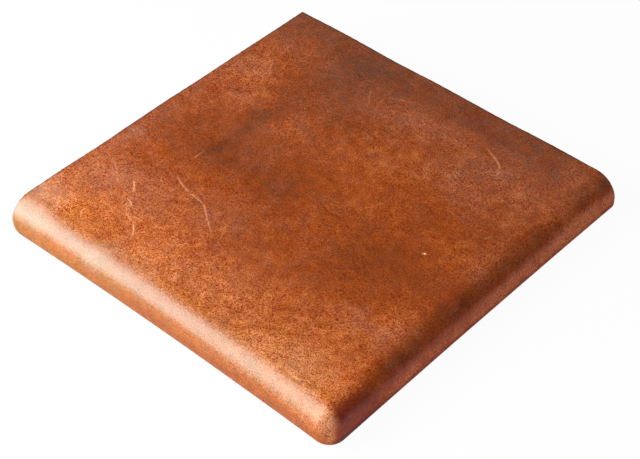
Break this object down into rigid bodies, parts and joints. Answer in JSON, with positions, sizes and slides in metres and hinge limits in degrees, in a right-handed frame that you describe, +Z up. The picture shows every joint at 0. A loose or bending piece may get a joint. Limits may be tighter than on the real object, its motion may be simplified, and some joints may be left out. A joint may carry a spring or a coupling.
{
  "type": "corner stair tread tile",
  "caption": "Square fired stoneware tread with hooked round noses on two adjoining sides, cut edges on the other two and a keyed underside, for the outer corner of a tiled stair.",
  "frame": {"origin": "middle of the square, level with the feet of the noses", "axes": "+Z up through the tread face; the front nose is on -Y, the right nose on +X, and the cut sides are on -X and +Y"},
  "size_m": [0.33, 0.33, 0.035],
  "materials": {
    "fired_clay": "satin, flashed from orange brown to dark brown, with a fine sanded grain and slate-like scratches"
  },
  "bodies": {
    "root": {"corner_tread": "fired_clay"}
  },
  "joints": []
}
